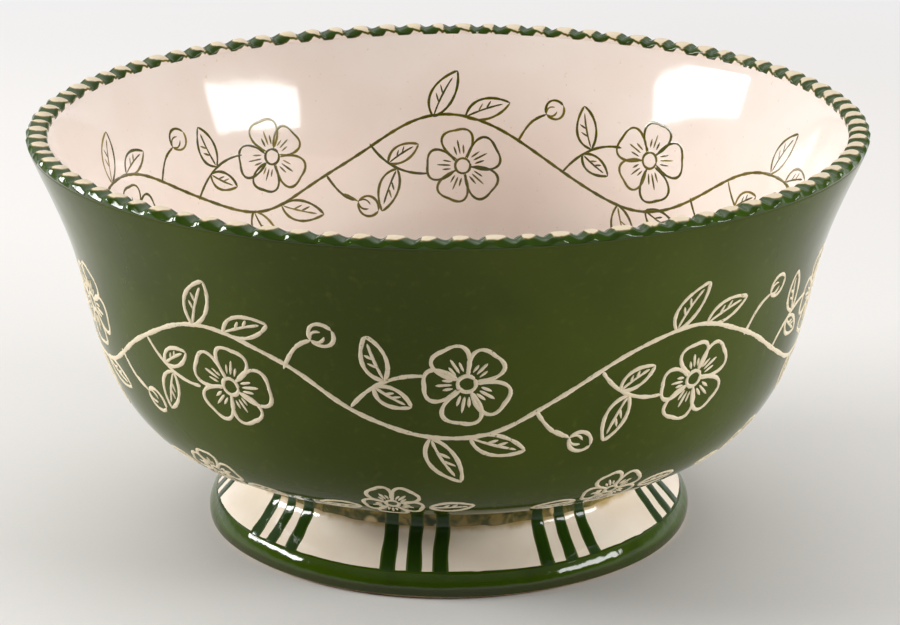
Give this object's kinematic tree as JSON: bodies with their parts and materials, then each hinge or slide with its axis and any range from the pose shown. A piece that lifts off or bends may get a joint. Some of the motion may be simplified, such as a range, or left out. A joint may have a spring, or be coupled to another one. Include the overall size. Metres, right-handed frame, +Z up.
{
  "type": "footed stoneware bowl",
  "caption": "Footed stoneware serving bowl with a flared wall, roped rim, green glaze outside, cream glaze inside and a striped pedestal foot.",
  "frame": {"origin": "on the bowl's axis, in the plane that the foot rests on", "axes": "+Z up along the axis of the bowl; -Y faces the viewer of the picture, +X is to that viewer's right"},
  "size_m": [0.254, 0.254, 0.1264],
  "materials": {
    "clay": "matte",
    "seam_glaze": "gloss",
    "rope_glaze": "gloss",
    "green_glaze": "gloss",
    "cream_glaze": "gloss",
    "stripe_glaze": "gloss"
  },
  "bodies": {
    "root": {"bowl_wall": "clay", "foot_ring": "clay", "slip_seam": "seam_glaze", "rope_rim": "rope_glaze", "outer_glaze": "green_glaze", "liner_glaze": "cream_glaze", "foot_glaze": "cream_glaze", "foot_band": "green_glaze", "foot_stripes": "stripe_glaze", "well_glaze": "cream_glaze"}
  },
  "joints": []
}
